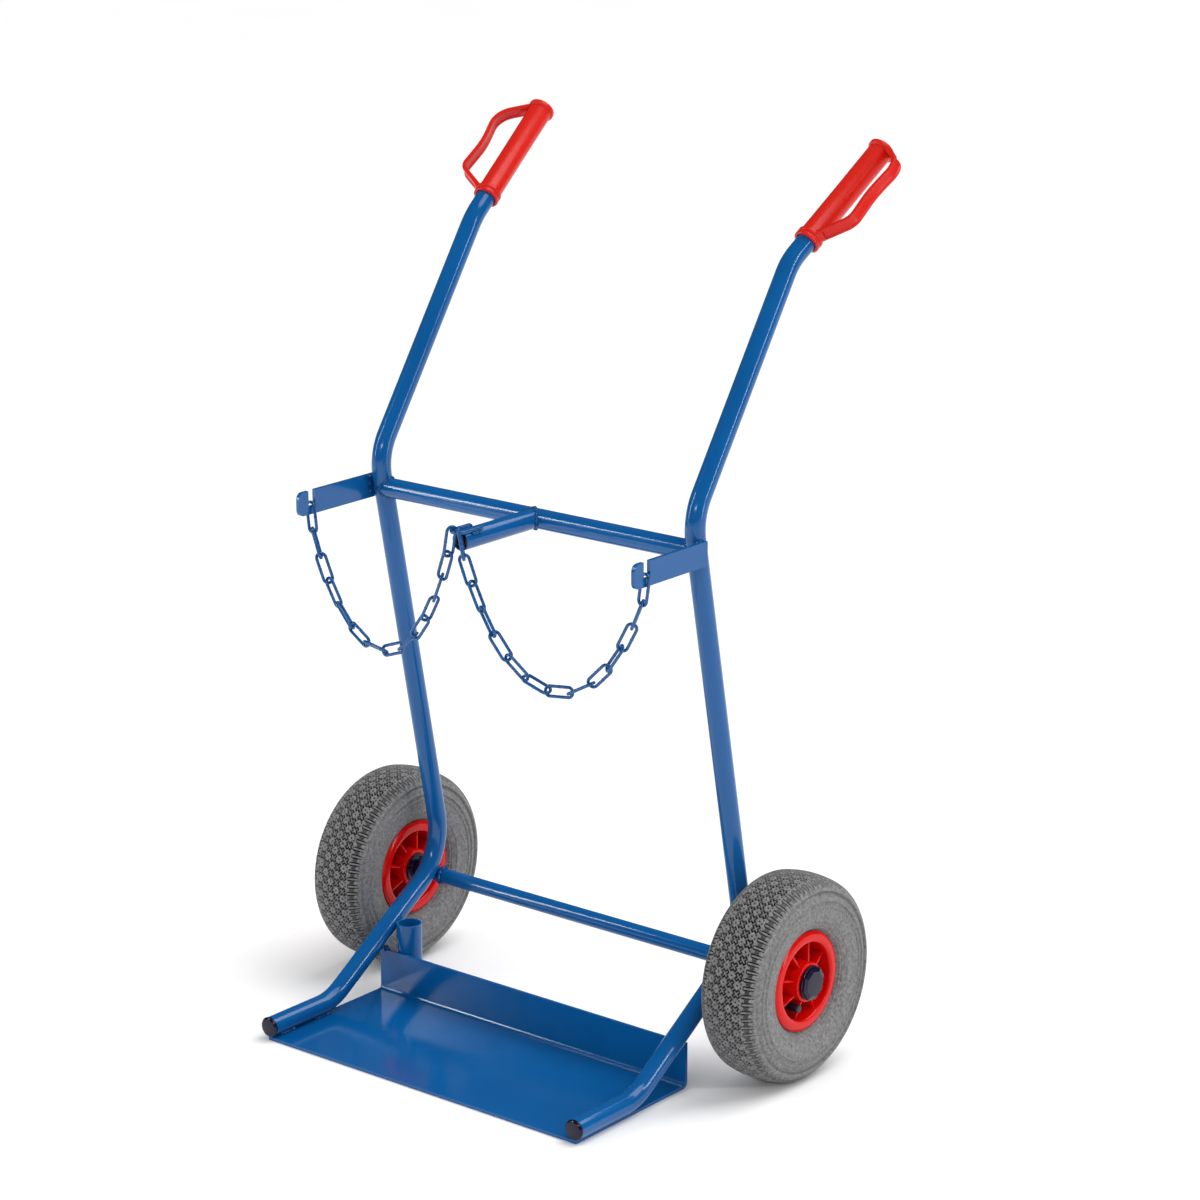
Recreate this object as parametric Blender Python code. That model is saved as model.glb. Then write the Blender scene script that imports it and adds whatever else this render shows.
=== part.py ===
"""Oxy acetylene torch cart: bent tube frame, toe plate, two retaining chains and two air-tyred wheels.

Units are metres. +Z is up, -Y is the front, where the cylinders stand, and X runs along the axle.
Every place is measured from the point on the floor below the axle's middle. The empty named cart
carries everything and moves the object's origin to the middle of its footprint.
"left" is the -X side and "right" the +X side.
"""
import math

import bmesh
import bpy
from mathutils import Matrix, Vector

GAP = 0.0003                       # left between neighbouring pieces
FOOTPRINT_SHIFT_Y = 0.0345         # axle to the middle of the footprint

# Frame tubes
TUBE_RADIUS = 0.0125
TUBE_WALL = 0.002
TUBE_SIDES = 12
HALF_TRACK = 0.2475                # middle plane to a side tube's centre line
SIDE_CORNERS = (                   # side tube: (y, z) of its corners and the radius of each bend
    ((-0.2076, 0.0175), 0.070),
    ((0.0109, 0.1570), 0.087),
    ((-0.0995, 0.7151), 0.070),
    ((0.0854, 0.9908), 0.080),
)
FOOT_END = (-0.3186, 0.0175)
HANDLE_LENGTH = 0.194              # last corner to the tube's top end
HANDLE_RISE = math.radians(36.2)
HANDLE_SPLAY = math.radians(5.7)
BEND_STEP = math.radians(14)

# Axle and cross members
AXLE_Z = 0.130
AXLE_RADIUS = 0.010
AXLE_HALF_LENGTH = 0.3592
CROSS_Y = -0.0912
CROSS_Z = 0.6730
ARM_FRONT_Y = -0.2295
COPE_RADIUS = 0.01291              # clears a frame tube by the gap, facets included
COPE_SIDES = 24

# Eye that holds both chains, and the slotted brackets
EYE_WIRE = 0.0025
EYE_RADIUS = 0.009
EYE_FRONT_Y = -0.2400
EYE_REAR_Y = -0.2020
EYE_LEG_REACH = TUBE_RADIUS + EYE_WIRE + GAP   # arm's axis to the centre of a leg
EYE_Z = CROSS_Z + math.sqrt(EYE_LEG_REACH ** 2 - EYE_RADIUS ** 2)
BRACKET_THICKNESS = 0.005
BRACKET_BOTTOM = 0.659
BRACKET_TOP = 0.689
BRACKET_FRONT = -0.2315
BRACKET_REAR = -0.0940
BRACKET_CORNER = 0.008
SLOT_FRONT = -0.2145
SLOT_REAR = -0.2025
SLOT_BOTTOM = 0.669

# Toe plate and rod socket
PLATE_HALF_WIDTH = 0.250
PLATE_THICKNESS = 0.004
PLATE_FRONT = -0.320
PLATE_REAR = -0.106
PLATE_FOLD = 0.008
LIP_HEIGHT = 0.0585
SOCKET_RADIUS = 0.0165
SOCKET_WALL = 0.0025
SOCKET_PLACE = (-0.2182, -0.0891)
SOCKET_BOTTOM = 0.005
SOCKET_TOP = 0.0955

# Grips, measured along the grip from its lower end
GRIP_START = 0.0337                # last bend's corner to the grip's lower end
GRIP_LENGTH = 0.1670
GRIP_BORE = 0.0131
GRIP_BORE_DEPTH = HANDLE_LENGTH - GRIP_START + 0.0006
GUARD_TILT = math.radians(13)
GUARD_CORNERS = ((0.161, 0.013), (0.137, 0.0522), (0.086, 0.0455), (0.038, 0.0515), (0.011, 0.013))
GUARD_BENDS = (0.030, 0.120, 0.016)
GUARD_WIDTH = 0.015
GUARD_THICKNESS = 0.0045

# Chains
WIRE_RADIUS = 0.0019
LINK_PITCH = 0.0326
LINK_SLACK = 0.0020                # play between two linked ends
LINK_END_RADIUS = 0.006
HOOK_OFFSET = 0.0054               # each chain's last link sits this far to its side in the eye
HOOK_LIFT = 0.0006                 # last link's inner end above the eye's wire
HANG_LIFT = 0.0018                 # first link's inner end above the slot's bottom edge
HANG_SHIFT = 0.0006                # first link's middle, outward from the bracket's
FIRST_LEAN = math.radians(8)       # the bracket holds the first link nearly upright
LAST_LEAN = math.radians(12)       # and the eye the last one
LEFT_TURNS = (170, 50, 110, 0, 60, 175, 55, 175, 110, 10, 70, 130, 15, 75)
RIGHT_TURNS = (10, 70, 155, 50, 165, 90, 10, 70, 165, 45, 150, 85, 25, 120)

# Wheels, along the axle from the tyre's middle plane
WHEEL_X = 0.3183
TYRE_RADIUS = 0.130
TURN_STEPS = 24
RIB_COUNT = 8
RIB_START = math.radians(30)
RIB_THICKNESS = 0.003
VALVE_ANGLE = math.radians(233)
VALVE_RADIUS = 0.00475
VALVE_SEAT = 0.010                 # where the valve leaves the barrel, along the axle
VALVE_REACH = 0.035                # axle to the valve's outer run
VALVE_BEND = 0.009
VALVE_TIP = 0.0365                 # outer end, from the tyre's middle plane
VALVE_HOLE = VALVE_RADIUS + 0.0008
INNER_TUBE_MIDDLE = 0.087
INNER_TUBE_HALF_WIDTH = 0.029
INNER_TUBE_HALF_HEIGHT = 0.0310
INNER_TUBE_WALL = 0.003
INNER_TUBE_SIDES = 8

# Materials: colour, roughness, metallic
BLUE_PAINT = ("blue paint", (0.005, 0.100, 0.330), 0.28, 0.0)
RED_GRIP = ("red grip rubber", (0.620, 0.035, 0.015), 0.45, 0.0)
RED_PLASTIC = ("red rim plastic", (0.700, 0.006, 0.004), 0.30, 0.0)
NAVY_PLASTIC = ("navy plastic", (0.020, 0.022, 0.060), 0.40, 0.0)
GREY_RUBBER = ("grey tyre rubber", (0.200, 0.200, 0.205), 0.75, 0.0)
BLACK_RUBBER = ("black rubber", (0.012, 0.010, 0.022), 0.55, 0.0)
BARE_STEEL = ("bare steel", (0.500, 0.500, 0.520), 0.35, 1.0)


def clear_scene():
    for old in list(bpy.data.objects):
        bpy.data.objects.remove(old, do_unlink=True)


def material(look):
    """Return the named material, made on first use."""
    name, colour, roughness, metallic = look
    found = bpy.data.materials.get(name)
    if found:
        return found
    made = bpy.data.materials.new(name)
    made.use_nodes = True
    shader = made.node_tree.nodes["Principled BSDF"]
    shader.inputs["Base Color"].default_value = (*colour, 1.0)
    shader.inputs["Roughness"].default_value = roughness
    shader.inputs["Metallic"].default_value = metallic
    return made


def new_object(name, mesh, look=BLUE_PAINT):
    """Link a mesh into the scene as a named, smooth shaded object."""
    mesh.name = name
    mesh.materials.clear()
    mesh.materials.append(material(look))
    mesh.shade_smooth()
    mesh.set_sharp_from_angle(angle=math.radians(35))
    made = bpy.data.objects.new(name, mesh)
    bpy.context.scene.collection.objects.link(made)
    return made


def closed_mesh(work):
    """Turn a bmesh into a mesh with merged points and faces pointing out."""
    bmesh.ops.remove_doubles(work, verts=work.verts, dist=1e-6)
    bmesh.ops.recalc_face_normals(work, faces=work.faces)
    mesh = bpy.data.meshes.new("shape")
    work.to_mesh(mesh)
    work.free()
    return mesh


def apply_modifiers(body):
    bpy.context.view_layer.update()
    depsgraph = bpy.context.evaluated_depsgraph_get()
    result = bpy.data.meshes.new_from_object(body.evaluated_get(depsgraph))
    body.modifiers.clear()
    body.data = result
    return body


def combine(body, tool, operation):
    """Join tool to body, or cut it away, and drop the tool."""
    cut = body.modifiers.new("combine", "BOOLEAN")
    cut.operation = operation
    cut.object = tool
    apply_modifiers(body)
    bpy.data.objects.remove(tool, do_unlink=True)
    return body


def parented(bodies, parent):
    for body in bodies:
        body.parent = parent


def empty(name, place, parent=None):
    made = bpy.data.objects.new(name, None)
    made.location = place
    made.parent = parent
    bpy.context.scene.collection.objects.link(made)
    return made


def arc(centre, radius, start, end, steps):
    """Points in a plane on an arc given in degrees, both ends included."""
    angles = [math.radians(start + (end - start) * step / steps) for step in range(steps + 1)]
    return [(centre[0] + radius * math.cos(a), centre[1] + radius * math.sin(a)) for a in angles]


def rounded_path(corners, radii):
    """Centre line through corners, with a true arc at each inner corner."""
    corners = [Vector(corner) for corner in corners]
    points = [corners[0]]
    for before, corner, after, radius in zip(corners, corners[1:], corners[2:], radii):
        inward = (corner - before).normalized()
        outward = (after - corner).normalized()
        turn = inward.angle(outward)
        start = corner - inward * radius * math.tan(turn / 2)
        middle = start + (outward - inward * outward.dot(inward)).normalized() * radius
        axis = inward.cross(outward)
        steps = max(2, round(turn / BEND_STEP))
        for step in range(steps + 1):
            spin = Matrix.Rotation(turn * step / steps, 3, axis)
            points.append(middle + spin @ (start - middle))
    points.append(corners[-1])
    return points


def wire_mesh(points, radius, sides, closed=False, caps=True):
    """Round bar or open tube surface along points."""
    curve = bpy.data.curves.new("wire", "CURVE")
    curve.dimensions = "3D"
    curve.bevel_depth = radius
    curve.bevel_resolution = sides // 2 - 2
    curve.use_fill_caps = caps
    spline = curve.splines.new("POLY")
    spline.points.add(len(points) - 1)
    for knot, place in zip(spline.points, points):
        knot.co = (*place, 1.0)
    spline.use_cyclic_u = closed
    holder = bpy.data.objects.new("wire", curve)
    raw = bpy.data.meshes.new_from_object(holder)
    bpy.data.objects.remove(holder)
    work = bmesh.new()
    work.from_mesh(raw)
    return closed_mesh(work)


def hollow_tube(name, points, sides=TUBE_SIDES, radius=TUBE_RADIUS, wall=TUBE_WALL):
    """Tube that is open at both ends."""
    tube = new_object(name, wire_mesh(points, radius, sides, caps=False))
    shell = tube.modifiers.new("wall", "SOLIDIFY")
    shell.thickness = wall
    shell.offset = -1.0
    shell.use_even_offset = True
    return apply_modifiers(tube)


def turned_mesh(profile, segments, closed=True):
    """Body turned about X from (along, radius) points; open profiles start and end on the axis."""
    work = bmesh.new()
    corners = [work.verts.new((along, radius, 0.0)) for along, radius in profile]
    pairs = list(zip(corners, corners[1:]))
    if closed:
        pairs.append((corners[-1], corners[0]))
    edges = [work.edges.new(pair) for pair in pairs]
    bmesh.ops.spin(
        work, geom=corners + edges, cent=(0, 0, 0), axis=(1, 0, 0), dvec=(0, 0, 0),
        angle=math.tau, steps=segments, use_merge=True, use_duplicate=False)
    return closed_mesh(work)


def extruded_mesh(outline, thickness):
    """Plate with a (y, z) outline, from x = 0 to x = thickness."""
    work = bmesh.new()
    face = work.faces.new([work.verts.new((0.0, y, z)) for y, z in outline])
    grown = bmesh.ops.extrude_face_region(work, geom=[face])
    moved = [item for item in grown["geom"] if isinstance(item, bmesh.types.BMVert)]
    bmesh.ops.translate(work, verts=moved, vec=(thickness, 0, 0))
    return closed_mesh(work)


def rod(start, end, radius, sides):
    """Plain round tool between two points, for cutting."""
    return new_object("tool", wire_mesh([Vector(start), Vector(end)], radius, sides))


# Frame


def side_path(side):
    """Centre line of a side tube, from its foot to the top of its handle."""
    across = side * HALF_TRACK
    last = Vector((across, *SIDE_CORNERS[-1][0]))
    handle = handle_direction(side)
    corners = [(across, *FOOT_END)]
    corners += [(across, *place) for place, _ in SIDE_CORNERS]
    corners.append(last + handle * HANDLE_LENGTH)
    return rounded_path(corners, [radius for _, radius in SIDE_CORNERS])


def handle_direction(side):
    level = math.cos(HANDLE_SPLAY)
    return Vector((
        side * math.sin(HANDLE_SPLAY), level * math.cos(HANDLE_RISE), level * math.sin(HANDLE_RISE)))


def side_tube_line():
    """Direction of a side tube where the cross tube meets it."""
    lower, upper = SIDE_CORNERS[1][0], SIDE_CORNERS[2][0]
    return Vector((0.0, upper[0] - lower[0], upper[1] - lower[1])).normalized()


def make_upper_cross_tube():
    tube = hollow_tube("upper_cross_tube", [
        Vector((-HALF_TRACK, CROSS_Y, CROSS_Z)), Vector((HALF_TRACK, CROSS_Y, CROSS_Z))])
    reach = side_tube_line() * 0.04
    for side in (-1, 1):
        middle = Vector((side * HALF_TRACK, CROSS_Y, CROSS_Z))
        combine(tube, rod(middle - reach, middle + reach, COPE_RADIUS, COPE_SIDES), "DIFFERENCE")
    return tube


def make_centre_arm():
    tube = hollow_tube("centre_arm_tube", [
        Vector((0, CROSS_Y, CROSS_Z)), Vector((0, ARM_FRONT_Y, CROSS_Z))])
    tool = rod((-0.03, CROSS_Y, CROSS_Z), (0.03, CROSS_Y, CROSS_Z), COPE_RADIUS, COPE_SIDES)
    return combine(tube, tool, "DIFFERENCE")


def make_arm_plug():
    """Push-in plug, set in the arm's end so that the tube's rim stays in sight."""
    profile = [(-0.014, 0), (-0.014, 0.0092), (-0.002, 0.0098), (-0.0004, 0.0094), (0.0006, 0.0080)]
    profile.append((0.0010, 0))
    plug = new_object("centre_arm_plug", turned_mesh(profile, TUBE_SIDES, closed=False), NAVY_PLASTIC)
    plug.rotation_euler = (0, 0, math.radians(-90))
    plug.location = (0, ARM_FRONT_Y, CROSS_Z)
    return plug


def make_chain_eye():
    """Wire bow whose two legs lie along the arm, one on each side of its top."""
    bow = arc((0, EYE_FRONT_Y + EYE_RADIUS), EYE_RADIUS, 180, 360, 6)
    line = [(-EYE_RADIUS, EYE_REAR_Y)] + bow + [(EYE_RADIUS, EYE_REAR_Y)]
    points = [Vector((x, y, EYE_Z)) for x, y in line]
    return new_object("chain_eye", wire_mesh(points, EYE_WIRE, 8))


def make_chain_bracket(side):
    """Flat bar on the outer face of a side tube, with an open slot for the chain's first link."""
    outline = [(BRACKET_REAR, BRACKET_TOP), (BRACKET_REAR, BRACKET_BOTTOM)]
    inner_y = BRACKET_FRONT + BRACKET_CORNER
    outline += arc((inner_y, BRACKET_BOTTOM + BRACKET_CORNER), BRACKET_CORNER, 270, 180, 4)
    outline += arc((inner_y, BRACKET_TOP - BRACKET_CORNER), BRACKET_CORNER, 180, 90, 4)
    outline += [(SLOT_FRONT, BRACKET_TOP), (SLOT_FRONT, SLOT_BOTTOM)]
    outline += [(SLOT_REAR, SLOT_BOTTOM), (SLOT_REAR, BRACKET_TOP)]
    name = side_name(side) + "_chain_bracket"
    bracket = new_object(name, extruded_mesh(outline, side * BRACKET_THICKNESS))
    bracket.location.x = side * bracket_inner_x()
    return bracket


def bracket_inner_x():
    return HALF_TRACK + TUBE_RADIUS + GAP


def make_toe_plate():
    """Folded sheet: floor plate with an upright lip along its rear edge."""
    fold_y = PLATE_REAR - PLATE_FOLD
    outline = [(PLATE_FRONT, PLATE_THICKNESS), (PLATE_FRONT, 0.0)]
    outline += arc((fold_y, PLATE_FOLD), PLATE_FOLD, 270, 360, 5)
    outline += [(PLATE_REAR, LIP_HEIGHT), (PLATE_REAR - PLATE_THICKNESS, LIP_HEIGHT)]
    outline += arc((fold_y, PLATE_FOLD), PLATE_FOLD - PLATE_THICKNESS, 360, 270, 4)
    plate = new_object("toe_plate", extruded_mesh(outline, 2 * PLATE_HALF_WIDTH))
    plate.location.x = -PLATE_HALF_WIDTH
    return plate


def make_rod_socket():
    """Upright cup for spare rods: a tube with a closed foot."""
    inner = SOCKET_RADIUS - SOCKET_WALL
    depth = SOCKET_TOP - SOCKET_BOTTOM
    profile = [(0, 0), (0, SOCKET_RADIUS), (depth, SOCKET_RADIUS), (depth, inner), (0.003, inner), (0.003, 0)]
    socket = new_object("rod_socket", turned_mesh(profile, 16, closed=False))
    socket.rotation_euler = (0, math.radians(-90), 0)
    socket.location = (*SOCKET_PLACE, SOCKET_BOTTOM)
    return socket


def make_axle():
    half = AXLE_HALF_LENGTH
    chamfer = 0.0015
    profile = [(-half, 0), (-half, AXLE_RADIUS - chamfer), (-half + chamfer, AXLE_RADIUS)]
    profile += [(half - chamfer, AXLE_RADIUS), (half, AXLE_RADIUS - chamfer), (half, 0)]
    axle = new_object("axle", turned_mesh(profile, 16, closed=False))
    axle.location.z = AXLE_Z
    return axle


def make_axle_collar(side):
    """Stop ring that keeps the wheel off the side tube."""
    name = side_name(side) + "_axle_collar"
    profile = [(0.2690, AXLE_RADIUS + GAP), (0.2690, 0.0145), (0.2772, 0.0145), (0.2772, AXLE_RADIUS + GAP)]
    collar = new_object(name, turned_mesh(mirrored(profile, side), 16), NAVY_PLASTIC)
    collar.location.z = AXLE_Z
    return collar


def make_hub_cap(side):
    """Push-on cap over the end of the axle, stepped and chamfered."""
    profile = [(0.3596, 0), (0.3596, AXLE_RADIUS + GAP), (0.3548, AXLE_RADIUS + GAP), (0.3548, 0.0205)]
    profile += [(0.3556, 0.0218), (0.3608, 0.0218), (0.3634, 0.0165), (0.3640, 0)]
    mesh = turned_mesh(mirrored(profile, side), 24, closed=False)
    cap = new_object(side_name(side) + "_hub_cap", mesh, NAVY_PLASTIC)
    cap.location.z = AXLE_Z
    return cap


def make_foot_plug(side):
    """Push-in plug with a domed head on the front end of a side tube."""
    profile = [(-0.016, 0), (-0.016, 0.0090), (-GAP, 0.0098), (GAP, 0.0098), (GAP, 0.0130), (0.0030, 0.0130)]
    profile += [(0.0046, 0.0112), (0.0052, 0)]
    name = side_name(side) + "_foot_plug"
    plug = new_object(name, turned_mesh(profile, TUBE_SIDES, closed=False), NAVY_PLASTIC)
    plug.rotation_euler = (0, 0, math.radians(-90))
    plug.location = (side * HALF_TRACK, *FOOT_END)
    return plug


# Grips


def guard_mesh():
    """Strap that arches over the knuckles, in the grip's own XZ plane."""
    corners = [(along, 0.0, out) for along, out in GUARD_CORNERS]
    path = rounded_path(corners, GUARD_BENDS)
    work = bmesh.new()
    rings = []
    for index, place in enumerate(path):
        before = path[max(index - 1, 0)]
        after = path[min(index + 1, len(path) - 1)]
        run = (after - before).normalized()
        lift = Vector((-run.z, 0.0, run.x)) * GUARD_THICKNESS / 2
        wide = Vector((0.0, GUARD_WIDTH / 2, 0.0))
        rings.append([work.verts.new(place + a + b) for a, b in (
            (lift, wide), (lift, -wide), (-lift, -wide), (-lift, wide))])
    for ring, following in zip(rings, rings[1:]):
        for corner in range(4):
            beside = (corner + 1) % 4
            work.faces.new((ring[corner], ring[beside], following[beside], following[corner]))
    work.faces.new(rings[0])
    work.faces.new(rings[-1])
    return closed_mesh(work)


def make_grip(side):
    """Moulded sleeve with two rings, an end flange and a knuckle guard; blind bore for the tube."""
    rings = [(0, 0), (0, 0.0160), (0.0010, 0.0168), (0.0045, 0.0168), (0.0052, 0.0158), (0.0066, 0.0158)]
    rings += [(0.0073, 0.0168), (0.0108, 0.0168), (0.0118, 0.0148)]
    flange = [(0.1590, 0.0148), (0.1600, 0.0173), (0.1640, 0.0173), (GRIP_LENGTH - 0.0008, 0.0150)]
    profile = rings + flange + [(GRIP_LENGTH, 0)]
    grip = new_object(side_name(side) + "_grip", turned_mesh(profile, 16, closed=False), RED_GRIP)
    combine(grip, new_object("tool", guard_mesh(), RED_GRIP), "UNION")
    tool = rod((-0.01, 0, 0), (GRIP_BORE_DEPTH, 0, 0), GRIP_BORE, 16)
    combine(grip, tool, "DIFFERENCE")
    along = handle_direction(side)
    outward = Vector((side, 0, 0))
    outward = (outward - along * outward.dot(along)).normalized()
    upward = outward.cross(along) * side
    lift = outward * math.cos(GUARD_TILT) + upward * math.sin(GUARD_TILT)
    turn = Matrix((along, lift.cross(along), lift)).transposed()
    grip.rotation_euler = turn.to_euler()
    grip.location = Vector((side * HALF_TRACK, *SIDE_CORNERS[-1][0])) + along * GRIP_START
    return grip


# Chains


def hanging_slopes(chord, rise, count):
    """Slopes of equal links hanging freely: they grow by an equal step from link to link."""
    def reach(step, middle):
        run = climb = 0.0
        for index in range(count):
            slope = step * (index + 0.5 - middle)
            run += LINK_PITCH / math.hypot(1.0, slope)
            climb += LINK_PITCH * slope / math.hypot(1.0, slope)
        return run, climb

    low_step, high_step = 0.01, 5.0
    for _ in range(60):
        step = (low_step + high_step) / 2
        low_middle, high_middle = 0.0, float(count)
        for _ in range(60):
            middle = (low_middle + high_middle) / 2
            if reach(step, middle)[1] > rise:
                low_middle = middle
            else:
                high_middle = middle
        if reach(step, middle)[0] > chord:
            low_step = step
        else:
            high_step = step
    return [step * (index + 0.5 - middle) for index in range(count)]


def chain_ends(side):
    """Where the first link rests in its bracket's slot and the last one on the eye."""
    bracket_x = bracket_inner_x() + BRACKET_THICKNESS / 2 + HANG_SHIFT
    start = Vector((side * bracket_x, (SLOT_FRONT + SLOT_REAR) / 2, SLOT_BOTTOM + HANG_LIFT))
    bow = math.sqrt(EYE_RADIUS ** 2 - HOOK_OFFSET ** 2)
    end_y = EYE_FRONT_Y + EYE_RADIUS - bow
    end = Vector((side * HOOK_OFFSET, end_y, EYE_Z + EYE_WIRE + HOOK_LIFT))
    return start, end


def link_mesh():
    """One welded link in its local XY plane, long way along X."""
    half_straight = (LINK_PITCH + LINK_SLACK) / 2 + WIRE_RADIUS - LINK_END_RADIUS
    outer = arc((half_straight, 0), LINK_END_RADIUS, -90, 90, 4)
    outer += arc((-half_straight, 0), LINK_END_RADIUS, 90, 270, 4)
    return wire_mesh([Vector((x, y, 0)) for x, y in outer], WIRE_RADIUS, 6, closed=True)


def chain_runs(start, end, chord, count):
    """Direction of every link: two held ends, and a freely hanging stretch between them."""
    up = Vector((0, 0, 1))
    first = chord * math.sin(FIRST_LEAN) - up * math.cos(FIRST_LEAN)
    last = chord * math.sin(LAST_LEAN) + up * math.cos(LAST_LEAN)
    between = (end - last * LINK_PITCH) - (start + first * LINK_PITCH)
    slopes = hanging_slopes(between.dot(chord), between.z, count - 2)
    return [first] + [(chord + up * slope).normalized() for slope in slopes] + [last]


def make_chain(side, turns, cart):
    """Links of one chain, hung between bracket and eye and turned against each other."""
    start, end = chain_ends(side)
    chord = Vector((end.x - start.x, end.y - start.y, 0)).normalized()
    front = Vector((chord.y, -chord.x, 0)) * -side
    holder = empty(side_name(side) + "_chain", start, cart)
    mesh = link_mesh()
    place = Vector((0, 0, 0))
    for index, (run, turn) in enumerate(zip(chain_runs(start, end, chord, len(turns)), turns)):
        flat = Matrix.Rotation(math.radians(turn), 3, run) @ front
        link = new_object("%s_chain_link_%02d" % (side_name(side), index + 1), mesh)
        link.rotation_euler = Matrix((run, flat.cross(run), flat)).transposed().to_euler()
        link.location = place + run * LINK_PITCH / 2
        link.parent = holder
        place += run * LINK_PITCH


# Wheels


def mirrored(profile, side):
    return [(along * side, radius) for along, radius in profile]


def both_sides(half, middle):
    """An outline from one side over the middle to its mirror image."""
    return half + [middle] + [(-along, radius) for along, radius in reversed(half)]


def wheel_part(side, name, profile, segments, look):
    """Ring turned about the axle, measured from the tyre's middle plane."""
    return new_object(side_name(side) + name, turned_mesh(mirrored(profile, side), segments), look)


def spoke_direction(angle):
    return Vector((0, math.cos(angle), math.sin(angle)))


def rim_profile():
    """Section of the one-piece rim: hub, thin web, barrel and crowned flanges."""
    recess = [(0.0025, 0.0260), (0.0025, 0.0470), (0.0300, 0.0488), (0.0330, 0.0505), (0.0326, 0.0590)]
    recess.append((0.0306, 0.0630))
    seat = [(0.0290, 0.0630), (0.0263, 0.0543), (0.0240, 0.0530)]
    outer_side = recess + seat
    inner_side = [(-along, radius) for along, radius in reversed(outer_side)]
    hub_outer = [(0.0362, 0.0148), (0.0362, 0.0245)]
    hub_inner = [(-0.0343, 0.0245), (-0.0343, 0.0148)]
    return hub_outer + outer_side + inner_side + hub_inner


def rib_tool(angle):
    """One radial rib that runs through the web, from hub to barrel."""
    work = bmesh.new()
    bmesh.ops.create_cube(work, size=1.0)
    bmesh.ops.scale(work, vec=(0.050, 0.0290, RIB_THICKNESS), verts=work.verts)
    bmesh.ops.translate(work, vec=(0, 0.0365, 0), verts=work.verts)
    turn = Matrix.Rotation(angle, 3, "X")
    bmesh.ops.rotate(work, cent=(0, 0, 0), matrix=turn, verts=work.verts)
    return new_object("tool", closed_mesh(work))


def valve_hole_tool(side):
    seat = Vector((side * VALVE_SEAT, 0, 0))
    out = spoke_direction(VALVE_ANGLE)
    return rod(seat + out * 0.045, seat + out * 0.066, VALVE_HOLE, 10)


def make_rim(side):
    rim = wheel_part(side, "_rim", rim_profile(), TURN_STEPS, RED_PLASTIC)
    for index in range(RIB_COUNT):
        combine(rim, rib_tool(RIB_START + math.tau * index / RIB_COUNT), "UNION")
    return combine(rim, valve_hole_tool(side), "DIFFERENCE")


def make_tyre(side):
    """Carcass of the air tyre, open between its beads."""
    outer = [(0.0240, 0.0538), (0.0284, 0.0634), (0.0345, 0.0670), (0.0400, 0.0770)]
    outer += [(0.0425, 0.0905), (0.0410, 0.1060), (0.0350, 0.1200), (0.0210, 0.1282)]
    inner = [(0.0185, 0.0538), (0.0190, 0.0600), (0.0320, 0.0770), (0.0350, 0.0920), (0.0260, 0.1130)]
    profile = both_sides(outer, (0.0, TYRE_RADIUS)) + both_sides(inner, (0.0, 0.1200))[::-1]
    return wheel_part(side, "_tyre", profile, TURN_STEPS, GREY_RUBBER)


def oval(half_width, half_height):
    """Section of the inner tube, around its middle radius."""
    sides = INNER_TUBE_SIDES
    turns = [math.tau * (index + 0.5) / sides for index in range(sides)]
    return [(half_width * math.cos(a), INNER_TUBE_MIDDLE + half_height * math.sin(a)) for a in turns]


def make_inner_tube(side):
    """Hollow rubber tube with a hole where the valve enters."""
    outer = oval(INNER_TUBE_HALF_WIDTH, INNER_TUBE_HALF_HEIGHT)
    half_width = INNER_TUBE_HALF_WIDTH - INNER_TUBE_WALL
    half_height = INNER_TUBE_HALF_HEIGHT - INNER_TUBE_WALL
    tube = wheel_part(side, "_inner_tube", outer, TURN_STEPS, BLACK_RUBBER)
    inside = new_object("tool", turned_mesh(oval(half_width, half_height), TURN_STEPS))
    combine(inside, valve_hole_tool(side), "UNION")
    return combine(tube, inside, "DIFFERENCE")


def make_valve(side):
    """Bent stem: in from the inner tube through the barrel, then outward along the axle."""
    out = spoke_direction(VALVE_ANGLE)
    along = Vector((side, 0, 0))
    seat = along * VALVE_SEAT
    corners = [seat + out * 0.0590, seat + out * VALVE_REACH, out * VALVE_REACH + along * VALVE_TIP]
    mesh = wire_mesh(rounded_path(corners, [VALVE_BEND]), VALVE_RADIUS, 8)
    return new_object(side_name(side) + "_valve", mesh, BLACK_RUBBER)


def make_bearing_bush(side):
    profile = [(-0.0335, 0.0104), (-0.0335, 0.0144), (0.0355, 0.0144), (0.0355, 0.0104)]
    return wheel_part(side, "_bearing_bush", profile, 24, BARE_STEEL)


def make_inner_ring(side):
    """Stepped dust ring on the hub's inner end."""
    profile = [(-0.0346, 0.0103), (-0.0346, 0.0205), (-0.0377, 0.0205), (-0.0377, 0.0160)]
    profile += [(-0.0405, 0.0160), (-0.0405, 0.0103)]
    return wheel_part(side, "_inner_ring", profile, 24, NAVY_PLASTIC)


def make_wheel(side, cart):
    """Everything that turns with one wheel, around an empty on the axle."""
    hub = empty(side_name(side) + "_wheel", (side * WHEEL_X, 0, AXLE_Z), cart)
    makers = (make_rim, make_tyre, make_inner_tube, make_valve, make_bearing_bush, make_inner_ring)
    parented([make(side) for make in makers], hub)


# Whole cart


def side_name(side):
    return "left" if side < 0 else "right"


def make_frame(cart):
    """Everything that does not move against the side tubes."""
    single = (make_upper_cross_tube, make_centre_arm, make_arm_plug, make_chain_eye)
    single += (make_toe_plate, make_rod_socket, make_axle)
    parented([make() for make in single], cart)
    paired = (make_chain_bracket, make_axle_collar, make_hub_cap, make_foot_plug, make_grip)
    for side in (-1, 1):
        parented([make(side) for make in paired], cart)
        parented([hollow_tube(side_name(side) + "_side_tube", side_path(side))], cart)


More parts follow.
